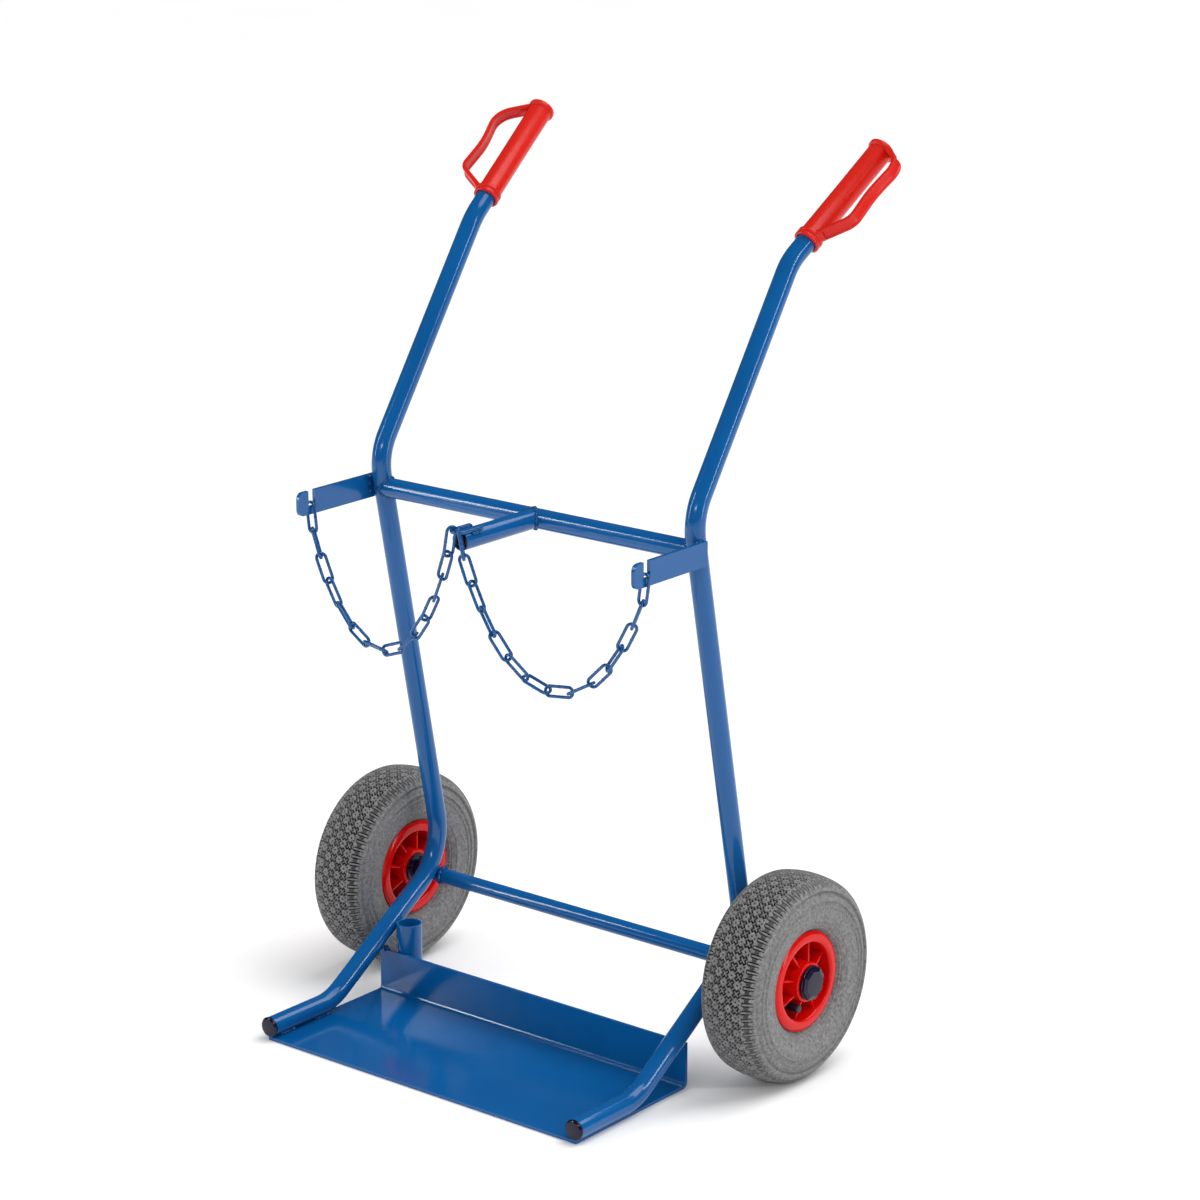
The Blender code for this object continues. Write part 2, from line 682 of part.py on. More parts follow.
def main():
    clear_scene()
    cart = empty("cart", (0, FOOTPRINT_SHIFT_Y, 0))
    make_frame(cart)
    for side, turns in ((-1, LEFT_TURNS), (1, RIGHT_TURNS)):
        make_chain(side, turns, cart)
        make_wheel(side, cart)


main()
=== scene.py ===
import math

import bmesh
import bpy
import numpy as np
from mathutils import Matrix, Vector


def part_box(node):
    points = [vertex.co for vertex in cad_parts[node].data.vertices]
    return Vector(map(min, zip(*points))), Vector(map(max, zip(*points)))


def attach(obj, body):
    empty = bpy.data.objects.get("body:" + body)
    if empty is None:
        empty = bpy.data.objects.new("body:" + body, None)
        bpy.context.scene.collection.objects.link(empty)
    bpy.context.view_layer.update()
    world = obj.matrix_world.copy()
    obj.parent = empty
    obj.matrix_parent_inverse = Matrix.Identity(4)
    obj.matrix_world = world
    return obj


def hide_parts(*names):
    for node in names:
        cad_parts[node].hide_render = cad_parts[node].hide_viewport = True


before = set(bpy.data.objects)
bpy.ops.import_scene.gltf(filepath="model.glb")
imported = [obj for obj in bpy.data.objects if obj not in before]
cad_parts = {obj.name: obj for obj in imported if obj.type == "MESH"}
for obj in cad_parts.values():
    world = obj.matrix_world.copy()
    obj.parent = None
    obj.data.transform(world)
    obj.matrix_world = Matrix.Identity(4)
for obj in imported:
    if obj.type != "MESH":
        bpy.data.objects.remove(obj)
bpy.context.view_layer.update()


def middle(node):
    """Centre of a CAD node's box."""
    low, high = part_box(node)
    return (low + high) / 2


# Places and sizes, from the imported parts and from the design's driving dimensions, in metres
AXLE_RADIUS = 0.010
AXLE_HOLE = 0.0103                 # radius of the holes of collars, caps and rings
AXLE = middle("axle")
AXLE_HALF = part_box("axle")[1].x
CROSS = middle("upper_cross_tube")
TUBE_RADIUS = 0.0125
TUBE_INNER = 0.0105
HALF_TRACK = -middle("left_foot_plug").x
FOOT_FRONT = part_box("toe_plate")[0].y + 0.0014
FOOT_Z = middle("left_foot_plug").z
SIDE_CORNERS = (                   # (y from the axle, z) of a side tube's corners, and each bend
    ((-0.2076, FOOT_Z), 0.070),
    ((0.0109, 0.1570), 0.087),
    ((-0.0995, 0.7151), 0.070),
    ((0.0854, 0.9908), 0.080),
)
HANDLE_RISE = math.radians(36.2)
HANDLE_SPLAY = math.radians(5.7)
HANDLE_LENGTH = 0.194              # last corner to the tube's top end
GRIP_START = 0.0337                # last corner to the grip's lower end
GRIP_LENGTH = 0.1670
GUARD_CORNERS = (                  # (along, across, out) of the knuckle guard's corners
    (0.161, 0, 0.013), (0.137, 0, 0.0522), (0.086, 0, 0.0455), (0.038, 0, 0.0515), (0.011, 0, 0.013))
GUARD_TILT = math.radians(13)
WHEEL_X = middle("right_tyre").x
TYRE_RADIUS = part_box("right_tyre")[1].z - AXLE.z
RIB_COUNT = 8
RIB_START = math.radians(30)
VALVE_ANGLE = math.radians(233)
VALVE_REACH = 0.035                # axle to the valve's outer run
LINK_COUNT = 14
SHARP_ANGLE = math.radians(38)     # edges sharper than this stay sharp in smooth shading
SIDES = (("left", -1), ("right", 1))


# Meshes


def smooth(mesh):
    """Shade a mesh smooth, apart from its sharp edges."""
    mesh.shade_smooth()
    mesh.set_sharp_from_angle(angle=SHARP_ANGLE)
    return mesh


def mesh_from(work):
    """Finished mesh of a bmesh, with doubled points merged and all faces turned outward."""
    bmesh.ops.remove_doubles(work, verts=work.verts, dist=1e-6)
    bmesh.ops.recalc_face_normals(work, faces=work.faces)
    mesh = bpy.data.meshes.new("shape")
    work.to_mesh(mesh)
    work.free()
    return smooth(mesh)


def rounded(corners, radii, step=math.radians(5)):
    """Line through corners with a true arc at each inner one; radii is one value or one per corner."""
    corners = [Vector(corner) for corner in corners]
    if isinstance(radii, float):
        radii = [radii] * (len(corners) - 2)
    points = [corners[0]]
    for before, corner, after, radius in zip(corners, corners[1:], corners[2:], radii):
        inward = (corner - before).normalized()
        outward = (after - corner).normalized()
        turn = inward.angle(outward)
        if turn < 0.02 or radius <= 0:
            points.append(corner)
            continue
        room = 0.49 * min((corner - before).length, (after - corner).length)
        radius = min(radius, room / math.tan(turn / 2))
        start = corner - inward * radius * math.tan(turn / 2)
        centre = start + (outward - inward * outward.dot(inward)).normalized() * radius
        axis = inward.cross(outward)
        steps = max(2, round(turn / step))
        points += [centre + Matrix.Rotation(turn * k / steps, 3, axis) @ (start - centre)
                   for k in range(steps + 1)]
    points.append(corners[-1])
    return points


def circle(radius, sides):
    """Round section as a list of (side, up) points."""
    return [(radius * math.cos(math.tau * k / sides), radius * math.sin(math.tau * k / sides))
            for k in range(sides)]


def sweep(points, section, closed=False, grow=None, up=None):
    """Carry a closed (side, up) section along points without twisting it; grow scales each ring."""
    points = [Vector(point) for point in points]
    count = len(points)
    runs = []
    for k in range(count):
        before = points[(k - 1) % count] if closed else points[max(k - 1, 0)]
        after = points[(k + 1) % count] if closed else points[min(k + 1, count - 1)]
        runs.append((after - before).normalized())
    lift = Vector(up) if up else runs[0].orthogonal()
    work = bmesh.new()
    rings = []
    for k, (place, run) in enumerate(zip(points, runs)):
        lift = (lift - run * lift.dot(run)).normalized()
        side = run.cross(lift)
        size = grow[k] if grow else 1.0
        rings.append([work.verts.new(place + (side * a + lift * b) * size) for a, b in section])
    pairs = list(zip(rings, rings[1:]))
    if closed:
        pairs.append((rings[-1], rings[0]))
    total = len(section)
    for ring, following in pairs:
        for k in range(total):
            beside = (k + 1) % total
            work.faces.new((ring[k], ring[beside], following[beside], following[k]))
    if not closed:
        work.faces.new(rings[0])
        work.faces.new(rings[-1])
    return mesh_from(work)


def turned(profile, steps, soften, closed=False):
    """Turn (along, radius) corners about X, with each corner softened by a small arc."""
    corners = [(along, radius, 0.0) for along, radius in profile]
    if closed:
        corners = [corners[-1]] + corners + [corners[0]]
        outline = rounded(corners, soften, math.radians(25))[1:-1]
    else:
        outline = rounded(corners, soften, math.radians(25))
    work = bmesh.new()
    verts = [work.verts.new(point) for point in outline]
    pairs = list(zip(verts, verts[1:]))
    if closed:
        pairs.append((verts[-1], verts[0]))
    edges = [work.edges.new(pair) for pair in pairs]
    bmesh.ops.spin(
        work, geom=verts + edges, cent=(0, 0, 0), axis=(1, 0, 0), dvec=(0, 0, 0),
        angle=math.tau, steps=steps, use_merge=True, use_duplicate=False)
    return mesh_from(work)


def joined(meshes):
    """One mesh from several overlapping ones."""
    work = bmesh.new()
    for mesh in meshes:
        work.from_mesh(mesh)
    result = bpy.data.meshes.new("shape")
    work.to_mesh(result)
    work.free()
    return smooth(result)


def moved(mesh, matrix):
    """The same mesh, turned or shifted."""
    mesh.transform(matrix)
    return mesh


def piece(name, mesh, look, body, stands_for=(), place=(0, 0, 0)):
    """Link a mesh as a piece that rides on a CAD body and wears a material."""
    mesh.materials.clear()
    mesh.materials.append(look)
    made = bpy.data.objects.new(name, mesh)
    made.location = place
    bpy.context.scene.collection.objects.link(made)
    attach(made, body)
    if stands_for:
        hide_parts(*stands_for)
    return made


def mirrored(profile, sign):
    """An (along, radius) profile of the right side, or its mirror image for the left."""
    return [(along * sign, radius) for along, radius in profile]


# Materials

COLOUR_DRIFT = 9.0                 # noise scales, in cells per metre
GLOSS_DRIFT = 60.0
RUBBER_GRAIN = 260.0
PEEL_HEIGHT = 0.0004
GRAIN_HEIGHT = 0.0006


def start_material(name, colour, roughness, specular=0.3):
    """Principled material with its constants set on the shader itself."""
    made = bpy.data.materials.new(name)
    made.use_nodes = True
    tree = made.node_tree
    shader = tree.nodes["Principled BSDF"]
    shader.inputs["Base Color"].default_value = (*colour, 1.0)
    shader.inputs["Roughness"].default_value = roughness
    shader.inputs["Specular IOR Level"].default_value = specular
    return made, tree, shader


def noise(tree, scale, detail=3.0, roughness=0.5):
    """Noise texture on the object's own coordinates."""
    place = tree.nodes.new("ShaderNodeTexCoord")
    made = tree.nodes.new("ShaderNodeTexNoise")
    made.inputs["Scale"].default_value = scale
    made.inputs["Detail"].default_value = detail
    made.inputs["Roughness"].default_value = roughness
    tree.links.new(place.outputs["Object"], made.inputs["Vector"])
    return made.outputs["Fac"]


def spread(tree, factor, low, high):
    """Map a 0.3 to 0.7 noise range onto low to high."""
    made = tree.nodes.new("ShaderNodeMapRange")
    made.inputs["From Min"].default_value = 0.3
    made.inputs["From Max"].default_value = 0.7
    made.inputs["To Min"].default_value = low
    made.inputs["To Max"].default_value = high
    tree.links.new(factor, made.inputs["Value"])
    return made.outputs["Result"]


def two_colours(tree, factor, first, second):
    """Mix two fixed colours by a noise factor."""
    made = tree.nodes.new("ShaderNodeMix")
    made.data_type = "RGBA"
    made.inputs["A"].default_value = (*first, 1.0)
    made.inputs["B"].default_value = (*second, 1.0)
    tree.links.new(factor, made.inputs["Factor"])
    return made.outputs["Result"]


def bump(tree, shader, height, strength, distance):
    """Fine relief of a surface, distance in metres."""
    made = tree.nodes.new("ShaderNodeBump")
    made.inputs["Strength"].default_value = strength
    made.inputs["Distance"].default_value = distance
    tree.links.new(height, made.inputs["Height"])
    tree.links.new(made.outputs["Normal"], shader.inputs["Normal"])


def painted(name, first, second, roughness, specular, peel_scale, peel):
    """Sprayed or moulded surface: slow colour drift, uneven gloss and a fine orange peel."""
    made, tree, shader = start_material(name, first, roughness, specular=specular)
    drift = spread(tree, noise(tree, COLOUR_DRIFT, 4.0), 0.0, 1.0)
    tree.links.new(two_colours(tree, drift, first, second), shader.inputs["Base Color"])
    gloss = spread(tree, noise(tree, GLOSS_DRIFT, 3.0), roughness * 0.85, roughness * 1.2)
    tree.links.new(gloss, shader.inputs["Roughness"])
    bump(tree, shader, noise(tree, peel_scale, 2.0), peel, PEEL_HEIGHT)
    return made


def tyre_rubber():
    """Grey rubber with a fine moulded grain, and painted shade that darkens the grooves with their depth.
    """
    made, tree, shader = start_material("grey tyre rubber", (0.20, 0.20, 0.205), 0.5, specular=0.14)
    # painted shade: this per-point value darkens the rubber towards near black with a groove's depth
    painted_groove_shade = tree.nodes.new("ShaderNodeAttribute")
    painted_groove_shade.attribute_name = "painted_groove_shade"
    grain = noise(tree, RUBBER_GRAIN, 5.0, 0.65)
    tone = spread(tree, grain, 0.0, 1.0)
    top = two_colours(tree, tone, (0.095, 0.094, 0.095), (0.265, 0.263, 0.264))
    mix = tree.nodes.new("ShaderNodeMix")
    mix.data_type = "RGBA"
    # near-black colour of the painted groove shade
    mix.inputs["B"].default_value = (0.002, 0.002, 0.002, 1.0)
    tree.links.new(top, mix.inputs["A"])
    tree.links.new(painted_groove_shade.outputs["Fac"], mix.inputs["Factor"])
    tree.links.new(mix.outputs["Result"], shader.inputs["Base Color"])
    tree.links.new(spread(tree, grain, 0.38, 0.6), shader.inputs["Roughness"])
    bump(tree, shader, grain, 0.35, GRAIN_HEIGHT)
    return made


BLUE = painted(
    "blue paint", (0.0016, 0.078, 0.255), (0.0022, 0.090, 0.288),
    roughness=0.12, specular=0.42, peel_scale=700.0, peel=0.05)
CHAIN_BLUE = painted(
    "blue chain paint", (0.0018, 0.056, 0.190), (0.0026, 0.086, 0.270),
    roughness=0.15, specular=0.5, peel_scale=1500.0, peel=0.20)
GRIP_RED = painted(
    "red grip rubber", (0.560, 0.008, 0.003), (0.620, 0.013, 0.006),
    roughness=0.28, specular=0.28, peel_scale=2600.0, peel=0.14)
RIM_RED = painted(
    "red rim plastic", (0.560, 0.002, 0.002), (0.620, 0.004, 0.003),
    roughness=0.16, specular=0.22, peel_scale=400.0, peel=0.05)
NAVY = painted(
    "navy plastic", (0.004, 0.003, 0.016), (0.007, 0.005, 0.025),
    roughness=0.16, specular=0.32, peel_scale=1800.0, peel=0.08)
BLACK = painted(
    "black rubber", (0.006, 0.005, 0.012), (0.014, 0.012, 0.024),
    roughness=0.30, specular=0.4, peel_scale=1800.0, peel=0.25)
STEEL = painted(
    "bearing steel", (0.42, 0.42, 0.44), (0.55, 0.55, 0.57),
    roughness=0.32, specular=0.5, peel_scale=900.0, peel=0.10)
STEEL.node_tree.nodes["Principled BSDF"].inputs["Metallic"].default_value = 1.0
TYRE_GREY = tyre_rubber()


# Frame

TUBE_SIDES = 48
BEAD_SIDES = 10
BEAD_STEP = 0.0006                 # distance between the points of a weld bead
BEAD_RIPPLE = 0.0022               # length of one ripple of a weld bead
BEAD_WANDER = 1900                 # radians per metre of its slower unevenness
AXLE_WELD_START = 58               # degrees about the axle, from the rear upwards
AXLE_WELD_TURN = 190
PLATE_WELD_LENGTH = 0.028


def at_side(sign, place):
    """World point from (y from the axle, z) on a side tube's plane."""
    return Vector((sign * HALF_TRACK, AXLE.y + place[0], place[1]))


def handle_direction(sign):
    """Direction of a handle, rising to the rear and splayed outward."""
    level = math.cos(HANDLE_SPLAY)
    return Vector((
        sign * math.sin(HANDLE_SPLAY), level * math.cos(HANDLE_RISE), level * math.sin(HANDLE_RISE)))


def side_tube(name, sign):
    """Bent tube from its foot to the top of its handle."""
    last = at_side(sign, SIDE_CORNERS[-1][0])
    corners = [(sign * HALF_TRACK, FOOT_FRONT, FOOT_Z)]
    corners += [at_side(sign, place) for place, _ in SIDE_CORNERS]
    corners.append(last + handle_direction(sign) * HANDLE_LENGTH)
    path = rounded(corners, [radius for _, radius in SIDE_CORNERS], math.radians(2.5))
    node = name + "_side_tube"
    piece(node + "_skin", sweep(path, circle(TUBE_RADIUS, TUBE_SIDES)), BLUE, "frame", [node])


def cope_ring(centre, branch, main, radius):
    """Closed line where a tube along branch meets an equal one along main, seen from centre."""
    across = branch.cross(main).normalized()
    points = []
    steps = 72
    for k in range(steps):
        turn = math.tau * k / steps
        side = radius * math.cos(turn)
        depth = math.sqrt(max(radius ** 2 - side ** 2, 0.0))
        points.append(centre + across * side + main * radius * math.sin(turn) + branch * depth)
    return points


def tube_line():
    """Direction of a side tube where the cross tube meets it."""
    lower, upper = SIDE_CORNERS[1][0], SIDE_CORNERS[2][0]
    return Vector((0, upper[0] - lower[0], upper[1] - lower[1])).normalized()


def bead(name, path, radius, closed=False):
    """Weld bead with the small steps of a hand-laid seam."""
    lengths = [0.0]
    for first, second in zip(path, path[1:]):
        lengths.append(lengths[-1] + (Vector(second) - Vector(first)).length)
    grow = []
    for k, length in enumerate(lengths):
        wave = 1.0 + 0.20 * math.cos(math.tau * length / BEAD_RIPPLE)
        wave += 0.10 * math.sin(length * BEAD_WANDER + k)
        ends = 1.0 if closed else min(1.0, 0.45 + min(length, lengths[-1] - length) / (2 * radius))
        grow.append(wave * ends)
    piece(name, sweep(path, circle(radius, BEAD_SIDES), closed, grow), CHAIN_BLUE, "frame")


def dense(points, step=BEAD_STEP):
    """The same line with a point at every small step."""
    points = [Vector(point) for point in points]
    result = []
    for first, second in zip(points, points[1:]):
        count = max(1, round((second - first).length / step))
        result += [first.lerp(second, k / count) for k in range(count)]
    return result + [points[-1]]


def ring_weld(name, centre, branch, main, radius):
    """Bead all the way round the joint of two equal tubes."""
    ring = cope_ring(centre, branch, main, TUBE_RADIUS + 0.0002)
    bead(name, dense(ring + ring[:1])[:-1], radius, closed=True)


def upper_cross_tube():
    """Straight tube between the side tubes; its ends are out of sight inside them."""
    reach = Vector((HALF_TRACK - 0.004, 0, 0))
    tube = sweep([CROSS - reach, CROSS + reach], circle(TUBE_RADIUS, TUBE_SIDES))
    piece("upper_cross_tube_skin", tube, BLUE, "frame", ["upper_cross_tube"])
    for name, sign in SIDES:
        centre = Vector((sign * HALF_TRACK, CROSS.y, CROSS.z))
        ring_weld(name + "_cross_weld", centre, Vector((-sign, 0, 0)), tube_line(), 0.0019)


def centre_arm():
    """Tube with an open front end, its plug set back so that a blue rim shows."""
    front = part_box("centre_arm_tube")[0].y
    length = CROSS.y - front
    profile = [(length, TUBE_RADIUS), (0, TUBE_RADIUS), (0, TUBE_INNER), (0.012, TUBE_INNER)]
    place = Vector((0, front, CROSS.z))
    turn = Matrix.Rotation(math.radians(90), 4, "Z")
    tube = moved(turned(profile, 64, 0.0007), turn)
    piece("centre_arm_tube_skin", tube, BLUE, "frame", ["centre_arm_tube"], place)
    plug = [(0.012, 0), (0.012, 0.0102), (0.0012, 0.0102), (0.0004, 0.0080), (-0.0003, 0)]
    plug_mesh = moved(turned(plug, 64, 0.0006), turn)
    piece("centre_arm_plug_face", plug_mesh, NAVY, "frame", ["centre_arm_plug"], place)
    ring_weld("arm_weld", Vector((0, CROSS.y, CROSS.z)), Vector((0, -1, 0)), Vector((1, 0, 0)), 0.0021)


def chain_eye():
    """Wire bow whose legs lie along the arm, with weld beads on both sides of each leg."""
    low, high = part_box("chain_eye")
    wire = (high.z - low.z) / 2
    bend = (high.x - low.x) / 2 - wire
    height = (high.z + low.z) / 2
    path = [(-bend, high.y, height)]
    for k in range(25):
        turn = math.radians(180 + 180 * k / 24)
        path.append((bend * math.cos(turn), low.y + wire + bend + bend * math.sin(turn), height))
    path.append((bend, high.y, height))
    bow = sweep(path, circle(wire, 24), up=(0, 0, 1))
    piece("chain_eye_bow", bow, CHAIN_BLUE, "frame", ["chain_eye"])
    arm_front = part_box("centre_arm_tube")[0].y
    beside = 0.0022
    rear = high.y + 0.0010
    for name, sign in SIDES:
        for part, x, start, drop in (
                ("inner_", bend - beside, 0.007, 0.0010), ("outer_", bend + beside, 0.010, 0.0034)):
            z = height - drop
            seam = dense([(sign * x, arm_front + start, z), (sign * x, rear, z)])
            bead("eye_weld_" + part + name, seam, 0.0021)
        y = high.y + 0.0008
        cap = dense([(sign * (bend - 0.003), y, height), (sign * (bend + 0.002), y, height - 0.002)])
        bead("eye_weld_end_" + name, cap, 0.0027)


def kept_plate(node):
    """A folded or flat steel part: the CAD solid with its cut edges rounded off."""
    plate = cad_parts[node]
    soft = plate.modifiers.new("cut edges", "BEVEL")
    soft.width = 0.0007
    soft.segments = 3
    soft.limit_method = "ANGLE"
    soft.angle_limit = math.radians(40)
    smooth(plate.data)
    plate.data.materials.clear()
    plate.data.materials.append(BLUE)


def rod_socket():
    """Upright cup with a closed foot."""
    low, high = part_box("rod_socket")
    radius = (high.x - low.x) / 2
    depth = high.z - low.z
    bore = radius - 0.0025
    foot = 0.003
    profile = [(0, 0), (0, radius), (depth, radius), (depth, bore), (foot, bore), (foot, 0)]
    turn = Matrix.Rotation(math.radians(-90), 4, "Y")
    cup = moved(turned(profile, 64, 0.0007), turn)
    place = ((low.x + high.x) / 2, (low.y + high.y) / 2, low.z)
    piece("rod_socket_cup", cup, BLUE, "frame", ["rod_socket"], place)


def axle():
    """Round bar, with a weld bead on each side of both side tubes."""
    profile = [(-AXLE_HALF, 0), (-AXLE_HALF, AXLE_RADIUS), (AXLE_HALF, AXLE_RADIUS), (AXLE_HALF, 0)]
    piece("axle_bar", turned(profile, 48, 0.0012), BLUE, "frame", ["axle"], AXLE)
    reach = AXLE_RADIUS + 0.0006
    for name, sign in SIDES:
        for inner in (-1, 1):
            x = sign * (HALF_TRACK + inner * (TUBE_RADIUS - 0.0012))
            turns = [math.radians(AXLE_WELD_START + AXLE_WELD_TURN * k / 60) for k in range(61)]
            path = [(x, AXLE.y + reach * math.cos(a), AXLE.z + reach * math.sin(a)) for a in turns]
            bead("%s_axle_weld_%d" % (name, inner + 2), dense(path), 0.0026)


def foot_plug(name, sign):
    """Push-in end plug with a soft domed head."""
    low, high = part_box(name + "_foot_plug")
    radius = (high.x - low.x) / 2
    profile = [(-0.010, 0), (-0.010, 0.0098), (0.0003, 0.0098), (0.0003, radius), (0.0028, radius)]
    profile += [(0.0046, radius - 0.0022), (0.0052, 0)]
    turn = Matrix.Rotation(math.radians(-90), 4, "Z")
    mesh = moved(turned(profile, 64, 0.0009), turn)
    place = (sign * HALF_TRACK, FOOT_FRONT, FOOT_Z)
    piece(name + "_foot_plug_head", mesh, NAVY, "frame", [name + "_foot_plug"], place)


def plate_welds():
    """Short seams between the feet and the plate, and a bead at each end of the lip."""
    low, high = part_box("toe_plate")
    for name, sign in SIDES:
        for inner in (-1, 1):
            x = sign * HALF_TRACK + inner * 0.0062
            if abs(x) > high.x - 0.002:  # past the plate's edge, where there is nothing to weld to
                continue
            for k, start in enumerate((low.y + 0.012, low.y + 0.075)):
                seam = dense([(x, start, 0.0052), (x, start + PLATE_WELD_LENGTH, 0.0052)])
                bead("%s_foot_weld_%d_%d" % (name, inner + 2, k), seam, 0.0024)
        lip = dense([(sign * (HALF_TRACK - 0.011), high.y - 0.002, high.z + 0.0008),
                     (sign * (HALF_TRACK - 0.002), high.y - 0.002, high.z + 0.0022)])
        bead(name + "_lip_weld", lip, 0.0038)


def bracket_welds():
    """Seam behind each bracket, two tacks in front of its tube and a short run along its top."""
    for name, sign in SIDES:
        low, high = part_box(name + "_chain_bracket")
        x = sign * (HALF_TRACK + TUBE_RADIUS - 0.0004)
        rear = dense([(x, high.y + 0.0004, low.z + 0.004), (x, high.y + 0.0004, high.z - 0.003)])
        bead(name + "_bracket_weld_rear", rear, 0.0024)
        beside = x - sign * 0.0006
        front = CROSS.y - TUBE_RADIUS - 0.0006
        for k, z in enumerate((low.z + 0.008, high.z - 0.012)):
            tack = dense([(beside, front, z), (beside, front, z + 0.004)])
            bead("%s_bracket_weld_front_%d" % (name, k), tack, 0.0021)
        top = dense([(x, high.y - 0.014, high.z - 0.0006), (x, high.y - 0.002, high.z - 0.0006)])
        bead(name + "_bracket_weld_top", top, 0.0022)


def axle_collar(name):
    """Ring between a side tube and its wheel."""
    low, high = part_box(name + "_axle_collar")
    half = (high.x - low.x) / 2
    profile = [(-half, AXLE_HOLE), (-half, 0.0145), (half, 0.0145), (half, AXLE_HOLE)]
    mesh = turned(profile, 64, 0.0008, closed=True)
    place = ((low.x + high.x) / 2, AXLE.y, AXLE.z)
    piece(name + "_axle_collar_ring", mesh, NAVY, "frame", [name + "_axle_collar"], place)


def hub_cap(name, sign):
    """Cap with a round band and a chamfered face of eight flat facets."""
    low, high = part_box(name + "_hub_cap")
    inner = low.x if sign > 0 else -high.x
    outer = high.x if sign > 0 else -low.x
    radius = (high.z - low.z) / 2
    band = [(inner, AXLE_HOLE), (inner, radius - 0.0012), (inner + 0.0008, radius)]
    band += [(outer - 0.0058, radius), (outer - 0.0052, radius - 0.0012), (outer - 0.0052, 0)]
    body = turned(mirrored(band, sign), 96, 0.0007)
    facets = 8
    face = [(outer - 0.0056, radius - 0.0003), (outer - 0.0030, radius - 0.0003)]
    face += [(outer - 0.0008, radius - 0.0052), (outer, 0)]
    dome = moved(turned(mirrored(face, sign), facets, 0.0), Matrix.Rotation(math.radians(12), 4, "X"))
    mesh = joined([body, dome])
    mesh.set_sharp_from_angle(angle=math.radians(6))
    place = (0, AXLE.y, AXLE.z)
    piece(name + "_hub_cap_face", mesh, NAVY, "frame", [name + "_hub_cap"], place)


# Grips


def strap_section():
    """Channel section of the knuckle guard: a thin web between two raised rims."""
    half, rim, web = 0.0077, 0.0028, 0.0016
    top = half - 0.0022
    foot = half - 0.0030
    corners = [(-half, -rim), (-half, rim), (-top, rim), (-foot, web), (foot, web), (top, rim)]
    corners += [(half, rim), (half, -rim), (top, -rim), (foot, -web), (-foot, -web), (-top, -rim)]
    loop = [(a, b, 0) for a, b in [corners[-1]] + corners + [corners[0]]]
    return [(point.x, point.y) for point in rounded(loop, 0.0005, math.radians(30))[1:-1]]


def oval_section(half_wide, half_thick):
    """Flat oval section, square at the sides and round at the edges."""
    steps = 24
    return [(math.copysign(abs(math.cos(a)) ** 0.5, math.cos(a)) * half_wide,
             math.copysign(abs(math.sin(a)) ** 0.8, math.sin(a)) * half_thick)
            for a in (math.tau * k / steps for k in range(steps))]


def grip_mesh():
    """Sleeve with twin rings and an end flange along X, and the guard arching towards Z."""
    profile = [(0.001, 0.0131), (0, 0.0135), (0, 0.0164), (0.0010, 0.0168), (0.0046, 0.0168)]
    profile += [(0.0052, 0.0156), (0.0066, 0.0156), (0.0072, 0.0168), (0.0108, 0.0168), (0.0120, 0.0149)]
    profile += [(0.0800, 0.0147), (0.1590, 0.0149), (0.1598, 0.0173), (0.1646, 0.0173)]
    profile += [(GRIP_LENGTH - 0.0006, 0.0150), (GRIP_LENGTH, 0)]
    sleeve = turned(profile, 72, 0.0006)
    path = rounded(GUARD_CORNERS, [0.030, 0.120, 0.016], math.radians(4))
    guard = sweep(path, strap_section(), up=(1, 0, 1))
    top_line = dense([(0.1632, 0, 0.0080), (0.1600, 0, 0.0165), (0.1530, 0, 0.0270)], 0.002)
    top_root = sweep(top_line, oval_section(0.0072, 0.0036), up=(1, 0, 1))
    low_line = dense([(0.0078, 0, 0.0110), (0.0150, 0, 0.0195)], 0.002)
    low_root = sweep(low_line, oval_section(0.0072, 0.0034), up=(1, 0, 1))
    return joined([sleeve, guard, top_root, low_root])


def grip(name, sign):
    """Grip at the top of a handle, its guard outward and a little upward."""
    along = handle_direction(sign)
    outward = Vector((sign, 0, 0))
    outward = (outward - along * outward.dot(along)).normalized()
    upward = outward.cross(along) * sign
    lift = outward * math.cos(GUARD_TILT) + upward * math.sin(GUARD_TILT)
    turn = Matrix((along, lift.cross(along), lift)).transposed().to_4x4()
    place = at_side(sign, SIDE_CORNERS[-1][0]) + along * GRIP_START
    mesh = moved(grip_mesh(), turn)
    piece(name + "_grip_moulding", mesh, GRIP_RED, "frame", [name + "_grip"], place)


# Chains


def link_mesh():
    """Welded link, long way along X, with a slight bulge where its wire was joined."""
    wire, bend, reach = 0.0020, 0.0060, 0.0132
    bulge = 0.16
    path = []
    for centre, first in ((reach, -90), (-reach, 90)):
        for k in range(13):
            turn = math.radians(first + 180 * k / 12)
            path.append((centre + bend * math.cos(turn), bend * math.sin(turn), 0))
        side = bend if first < 0 else -bend
        path += [(x * (1 if first < 0 else -1), side, 0) for x in (0.0040, 0.0014, 0.0, -0.0014, -0.0040)]
    grow = [1.0 + (bulge if abs(x) < 0.001 and y > 0 else 0.0) for x, y, _ in path]
    return sweep(path, circle(wire, 16), closed=True, grow=grow, up=(0, 0, 1))


def chain(name, shape):
    """A smooth link in the place and turn of every CAD link."""
    for index in range(1, LINK_COUNT + 1):
        node = "%s_chain_link_%02d" % (name, index)
        # The longest and second longest directions of the CAD link give the new one its turn.
        points = np.unique(np.round([v.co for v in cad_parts[node].data.vertices], 6), axis=0)
        centre = middle(node)
        axes = np.linalg.svd(points - np.array(centre), full_matrices=False)[2]
        long_way, wide_way = Vector(axes[0]), Vector(axes[1])
        if long_way.z > 0:
            long_way = -long_way
        turn = Matrix((long_way, wide_way, long_way.cross(wide_way))).transposed().to_4x4()
        mesh = moved(shape.copy(), turn)
        piece(node + "_wire", mesh, CHAIN_BLUE, name + "_chain", [node], centre)


# Wheels

